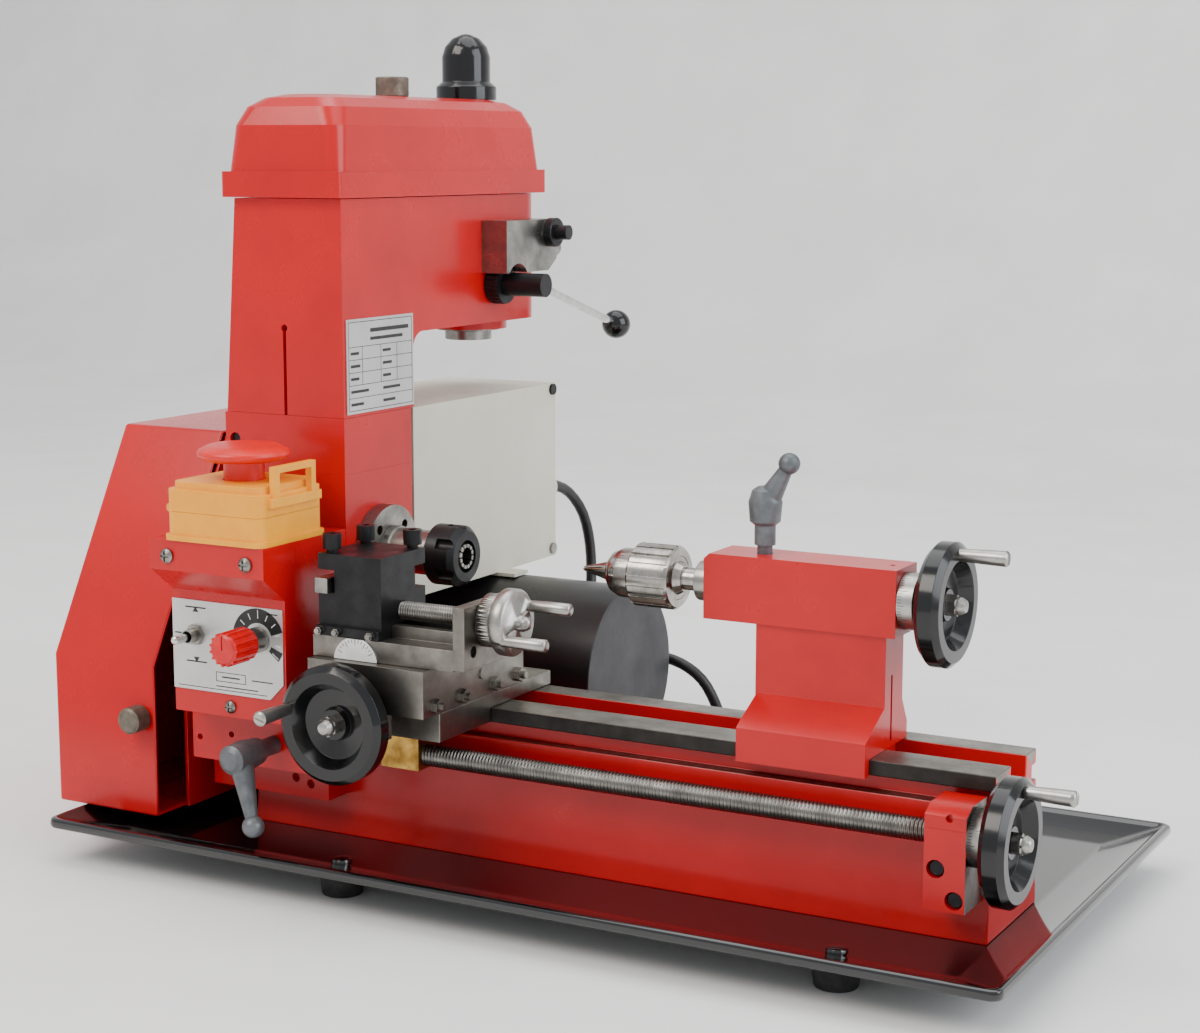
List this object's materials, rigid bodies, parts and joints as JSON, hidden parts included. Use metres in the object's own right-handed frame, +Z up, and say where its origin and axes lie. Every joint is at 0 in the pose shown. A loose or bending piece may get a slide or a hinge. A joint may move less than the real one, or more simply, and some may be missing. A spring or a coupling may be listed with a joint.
{
  "type": "metal lathe",
  "caption": "Bench lathe with a collet chuck, swivelling top slide, tailstock drill chuck and a drill-mill head that swings on a column over the headstock, on a chip tray.",
  "frame": {"origin": "lathe spindle axis at the front face of the collet", "axes": "+X along the bed towards the tailstock, +Y away from the operator, +Z up"},
  "size_m": [0.586, 0.4617, 0.4665],
  "materials": {
    "red_enamel": "glossy red enamel on castings and sheet",
    "tray_enamel": "glossy black enamel on folded sheet steel",
    "black_enamel": "satin black paint on the motor shell",
    "wheel_enamel": "gloss black on cast handwheels",
    "grey_enamel": "satin warm grey paint on folded sheet",
    "lever_grey": "satin grey paint on zinc clamping levers",
    "ground_steel": "ground and turned steel, lightly oiled",
    "chromed_steel": "polished plated steel",
    "black_oxide": "blackened steel, oiled",
    "nut_brass": "machined brass, dulled",
    "panel_foil": "brushed anodised aluminium label",
    "foot_rubber": "matt black rubber",
    "belt_rubber": "matt black rubber belt",
    "switch_plastic": "moulded yellow plastic",
    "knob_plastic": "moulded red plastic",
    "button_plastic": "moulded red plastic",
    "cord_pvc": "black flexible cord sheath"
  },
  "bodies": {
    "frame": {"chip_tray": "tray_enamel", "rubber_feet": "foot_rubber", "bed": "red_enamel", "headstock": "red_enamel", "feed_block": "red_enamel", "column_post": "ground_steel", "bearings": "ground_steel", "back_plate": "red_enamel", "belt_guard": "red_enamel", "control_box": "red_enamel", "control_panel": "panel_foil", "frame_screws": "chromed_steel", "stop_switch_base": "switch_plastic", "electronics_box": "grey_enamel", "motor": "black_enamel", "lead_bracket": "red_enamel", "drive_belt": "belt_rubber", "mains_cord": "cord_pvc", "cord_coil": "cord_pvc", "mains_plug": "cord_pvc"},
    "toggle": {"toggle_lever": "chromed_steel"},
    "speed_dial": {"speed_knob": "knob_plastic"},
    "stop_lid": {"stop_switch_lid": "switch_plastic"},
    "stop_plunger": {"stop_button": "button_plastic"},
    "rotor": {"motor_rotor": "ground_steel"},
    "lathe_spindle": {"spindle": "ground_steel", "collet_chuck": "ground_steel", "collet": "ground_steel", "collet_nut": "black_oxide"},
    "upright_shaft": {"drive_shaft": "ground_steel"},
    "head": {"head_casting": "red_enamel", "head_cover": "red_enamel", "cover_fittings": "black_oxide", "data_plate": "panel_foil", "head_belt": "belt_rubber", "depth_bracket": "ground_steel"},
    "upper_pulley": {"mill_pulley": "ground_steel"},
    "quill": {"mill_quill": "ground_steel"},
    "cutter_spindle": {"mill_spindle": "ground_steel"},
    "down_feed": {"quill_lever": "chromed_steel"},
    "lead_drive": {"leadscrew": "ground_steel", "lead_wheel": "wheel_enamel"},
    "carriage": {"saddle": "ground_steel", "brass_nut": "nut_brass"},
    "cross_table": {"cross_slide": "ground_steel"},
    "cross_drive": {"cross_screw": "chromed_steel", "cross_wheel": "wheel_enamel"},
    "swivel": {"compound_base": "ground_steel"},
    "top_slide": {"tool_post": "black_oxide", "tool_bit": "ground_steel"},
    "top_drive": {"top_screw": "ground_steel"},
    "clamp_lever": {"feed_lever": "lever_grey"},
    "tail_body": {"tailstock": "red_enamel"},
    "tail_barrel": {"tail_quill": "ground_steel", "drill_chuck": "ground_steel"},
    "tail_drive": {"tail_screw": "chromed_steel", "tail_wheel": "wheel_enamel"},
    "barrel_lock": {"tail_lever": "lever_grey"},
    "sleeve": {"chuck_sleeve": "ground_steel"},
    "jaws": {"chuck_jaws": "ground_steel"}
  },
  "joints": [
    {"name": "toggle_tilt", "type": "hinge", "parent": "frame", "child": "toggle", "pos_m": [-0.117, -0.095, -0.039], "axis": [1, 0, 0], "range_deg": [-12, 12]},
    {"name": "speed_turn", "type": "hinge", "parent": "frame", "child": "speed_dial", "pos_m": [-0.075, -0.1, -0.0375], "axis": [0, 1, 0], "range_deg": [0, 270]},
    {"name": "lid_hinge", "type": "hinge", "parent": "frame", "child": "stop_lid", "pos_m": [-0.125, -0.08, 0.0315], "axis": [0, -1, 0], "range_deg": [0, 110]},
    {"name": "stop_press", "type": "slide", "parent": "stop_lid", "child": "stop_plunger", "axis": [0, 0, -1], "range_m": [0, 0.004], "stiffness_N_per_m": 800},
    {"name": "motor_spin", "type": "hinge", "parent": "frame", "child": "rotor", "pos_m": [-0.05, 0.136, -0.09], "axis": [1, 0, 0], "continuous": true},
    {"name": "spindle_spin", "type": "hinge", "parent": "frame", "child": "lathe_spindle", "pos_m": [-0.1, 0, 0], "axis": [1, 0, 0], "continuous": true},
    {"name": "upright_shaft_spin", "type": "hinge", "parent": "frame", "child": "upright_shaft", "pos_m": [-0.098, 0, 0.1], "axis": [0, 0, 1], "continuous": true},
    {"name": "upper_pulley_spin", "type": "hinge", "parent": "head", "child": "upper_pulley", "pos_m": [-0.098, 0.16, 0.2], "axis": [0, 0, 1], "continuous": true},
    {"name": "cutter_spindle_spin", "type": "hinge", "parent": "quill", "child": "cutter_spindle", "pos_m": [-0.098, 0.16, 0.15], "axis": [0, 0, 1], "continuous": true},
    {"name": "head_swing", "type": "hinge", "parent": "frame", "child": "head", "pos_m": [-0.098, 0, 0.1], "axis": [0, 0, 1], "range_deg": [-90, 0]},
    {"name": "quill_feed", "type": "slide", "parent": "head", "child": "quill", "axis": [0, 0, -1], "range_m": [0, 0.027], "stiffness_N_per_m": 350, "springref_m": -0.03},
    {"name": "quill_lever_turn", "type": "hinge", "parent": "head", "child": "down_feed", "pos_m": [-0.05, 0.1243, 0.142], "axis": [-1, 0, 0], "range_deg": [0, 91]},
    {"name": "leadscrew_turn", "type": "hinge", "parent": "frame", "child": "lead_drive", "pos_m": [0.1, -0.0475, -0.101], "axis": [-1, 0, 0], "range_deg": [-722, 19802]},
    {"name": "carriage_slide", "type": "slide", "parent": "frame", "child": "carriage", "axis": [1, 0, 0], "range_m": [-0.004, 0.11]},
    {"name": "cross_screw_turn", "type": "hinge", "parent": "cross_table", "child": "cross_drive", "pos_m": [-0.0116, -0.1, -0.0717], "axis": [0, 1, 0], "range_deg": [-7200, 1920]},
    {"name": "cross_slide_move", "type": "slide", "parent": "carriage", "child": "cross_table", "axis": [0, 1, 0], "range_m": [-0.03001, 0.00801]},
    {"name": "compound_swivel", "type": "hinge", "parent": "cross_table", "child": "swivel", "pos_m": [-0.0115, -0.067, -0.04], "axis": [0, 0, 1], "range_deg": [-30, 10]},
    {"name": "top_screw_turn", "type": "hinge", "parent": "swivel", "child": "top_drive", "pos_m": [0.06, -0.067, -0.0179], "axis": [-1, 0, 0], "range_deg": [-1682, 4802]},
    {"name": "top_slide_move", "type": "slide", "parent": "swivel", "child": "top_slide", "axis": [1, 0, 0], "range_m": [-0.007, 0.02]},
    {"name": "feed_lever_turn", "type": "hinge", "parent": "frame", "child": "clamp_lever", "pos_m": [-0.0817, -0.09, -0.101], "axis": [0, 1, 0], "range_deg": [0, 60]},
    {"name": "tailstock_slide", "type": "slide", "parent": "frame", "child": "tail_body", "axis": [1, 0, 0], "range_m": [-0.02, 0.055]},
    {"name": "tail_screw_turn", "type": "hinge", "parent": "tail_body", "child": "tail_drive", "pos_m": [0.25, 0, 0], "axis": [-1, 0, 0], "range_deg": [0, 9600]},
    {"name": "tail_quill_move", "type": "slide", "parent": "tail_body", "child": "tail_barrel", "axis": [-1, 0, 0], "range_m": [0, 0.04001]},
    {"name": "barrel_lock_turn", "type": "hinge", "parent": "tail_body", "child": "barrel_lock", "pos_m": [0.18, 0, 0.03], "axis": [0, 0, 1], "range_deg": [-60, 60]},
    {"name": "chuck_sleeve_turn", "type": "hinge", "parent": "tail_barrel", "child": "sleeve", "pos_m": [0.118, 0, 0], "axis": [1, 0, 0], "range_deg": [0, 1080]},
    {"name": "chuck_jaws_move", "type": "slide", "parent": "tail_barrel", "child": "jaws", "axis": [1, 0, 0], "range_m": [0, 0.00601]}
  ],
  "couplings": [
    {"joint": "spindle_spin", "follows": "motor_spin", "ratio": 0.6},
    {"joint": "upright_shaft_spin", "follows": "motor_spin", "ratio": -0.6},
    {"joint": "upper_pulley_spin", "follows": "motor_spin", "ratio": -0.6},
    {"joint": "cutter_spindle_spin", "follows": "motor_spin", "ratio": -0.6},
    {"joint": "quill_lever_turn", "follows": "quill_feed", "rad_per_m": 58.139},
    {"joint": "leadscrew_turn", "follows": "carriage_slide", "rad_per_m": 3141.6},
    {"joint": "cross_slide_move", "follows": "cross_screw_turn", "m_per_rad": 0.00023873},
    {"joint": "top_screw_turn", "follows": "top_slide_move", "rad_per_m": 4188.8},
    {"joint": "tail_quill_move", "follows": "tail_screw_turn", "m_per_rad": 0.00023873},
    {"joint": "chuck_jaws_move", "follows": "chuck_sleeve_turn", "m_per_rad": 0.00031831}
  ]
}
